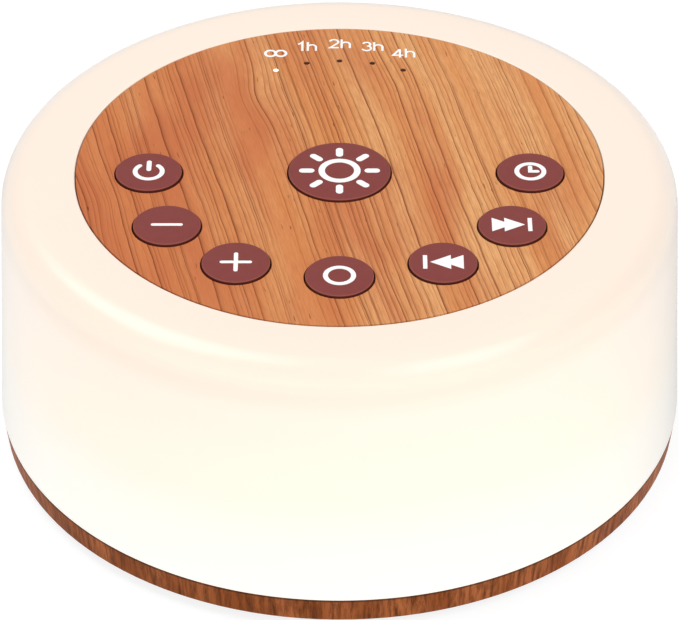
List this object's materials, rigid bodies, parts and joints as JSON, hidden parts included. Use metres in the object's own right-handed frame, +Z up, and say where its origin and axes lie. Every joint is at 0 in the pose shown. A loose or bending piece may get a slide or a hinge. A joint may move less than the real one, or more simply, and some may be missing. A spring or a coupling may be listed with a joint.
{
  "type": "white noise machine",
  "caption": "Round bedside sound machine: lit translucent shell, flush wood-look panel with an arc of round push keys and timer lights, wood-look base band, speaker grille below.",
  "frame": {"origin": "on the table, where the round body's axis meets the plane of the feet", "axes": "+Z up; the front, where the arc of keys is, faces -Y; the power inlet faces +Y; +X is to the right of someone who reads the keys"},
  "size_m": [0.114, 0.114, 0.0503],
  "materials": {
    "shell": "translucent, fine satin",
    "wood_panel": "printed cherry wood grain, satin",
    "wood_band": "printed dark wood grain, satin",
    "key": "satin, rounded edge",
    "plunger": "moulded",
    "white_plastic": "moulded",
    "dark_plastic": "moulded, fine texture",
    "cover": "moulded, fine texture",
    "clear_plastic": "clear, moulded",
    "rubber": "soft, matt",
    "screw_steel": "zinc-plated",
    "steel": "pressed, plated",
    "socket_steel": "drawn, plated",
    "board_green": "solder mask",
    "board_white": "white solder mask",
    "chip": "moulded",
    "led": "white body with phosphor lens",
    "paper": "pressed pulp",
    "card": "plain",
    "cloth": "woven mesh",
    "spider_cloth": "impregnated, corrugated",
    "foam": "closed-cell foam",
    "ferrite": "sintered ferrite",
    "coil": "lacquered tube",
    "insulation": "vinyl insulation"
  },
  "bodies": {
    "housing": {"diffuser_shell": "shell", "top_panel": "wood_panel", "base_ring": "wood_band", "bottom_cover": "cover", "rubber_feet": "rubber", "closing_screws": "screw_steel", "reflector_tower": "white_plastic", "tower_screws": "screw_steel", "night_light_board": "board_white", "night_light_leds": "led", "night_light_screws": "screw_steel", "key_board": "board_green", "key_board_screws": "screw_steel", "controller_parts": "chip", "switch_bodies": "dark_plastic", "timer_leds": "led", "timer_light_guide": "clear_plastic", "speaker_basket": "steel", "speaker_surround": "rubber", "surround_seat": "card", "speaker_spider": "spider_cloth", "front_plate": "steel", "speaker_magnet": "ferrite", "magnet_yoke": "steel", "speaker_gasket": "foam", "grille_cloth": "cloth", "speaker_screws": "screw_steel", "inlet_bezel": "shell", "usb_socket": "socket_steel", "usb_tongue": "dark_plastic", "power_board": "board_green", "power_board_screws": "screw_steel", "power_parts": "chip", "lead_connectors": "white_plastic", "speaker_terminals": "steel", "speaker_leads": "insulation", "power_leads": "insulation", "light_leads": "insulation"},
    "power_button": {"power_key": "key", "power_plunger": "plunger"},
    "volume_down_button": {"volume_down_key": "key", "volume_down_plunger": "plunger"},
    "volume_up_button": {"volume_up_key": "key", "volume_up_plunger": "plunger"},
    "sound_button": {"sound_key": "key", "sound_plunger": "plunger"},
    "previous_button": {"previous_key": "key", "previous_plunger": "plunger"},
    "next_button": {"next_key": "key", "next_plunger": "plunger"},
    "timer_button": {"timer_key": "key", "timer_plunger": "plunger"},
    "light_button": {"light_key": "key", "light_plunger": "plunger"},
    "cone": {"speaker_cone": "paper", "coil_former": "coil", "dust_cap": "paper"}
  },
  "joints": [
    {"name": "power_press", "type": "slide", "parent": "housing", "child": "power_button", "axis": [0, 0, -1], "range_m": [0, 0.0004], "stiffness_N_per_m": 1500},
    {"name": "volume_down_press", "type": "slide", "parent": "housing", "child": "volume_down_button", "axis": [0, 0, -1], "range_m": [0, 0.0004], "stiffness_N_per_m": 1500},
    {"name": "volume_up_press", "type": "slide", "parent": "housing", "child": "volume_up_button", "axis": [0, 0, -1], "range_m": [0, 0.0004], "stiffness_N_per_m": 1500},
    {"name": "sound_press", "type": "slide", "parent": "housing", "child": "sound_button", "axis": [0, 0, -1], "range_m": [0, 0.0004], "stiffness_N_per_m": 1500},
    {"name": "previous_press", "type": "slide", "parent": "housing", "child": "previous_button", "axis": [0, 0, -1], "range_m": [0, 0.0004], "stiffness_N_per_m": 1500},
    {"name": "next_press", "type": "slide", "parent": "housing", "child": "next_button", "axis": [0, 0, -1], "range_m": [0, 0.0004], "stiffness_N_per_m": 1500},
    {"name": "timer_press", "type": "slide", "parent": "housing", "child": "timer_button", "axis": [0, 0, -1], "range_m": [0, 0.0004], "stiffness_N_per_m": 1500},
    {"name": "light_press", "type": "slide", "parent": "housing", "child": "light_button", "axis": [0, 0, -1], "range_m": [0, 0.0004], "stiffness_N_per_m": 1500},
    {"name": "cone_travel", "type": "slide", "parent": "housing", "child": "cone", "axis": [0, 0, 1], "range_m": [-0.001, 0.001], "stiffness_N_per_m": 1800, "deforming": ["speaker_surround", "speaker_spider"]}
  ]
}
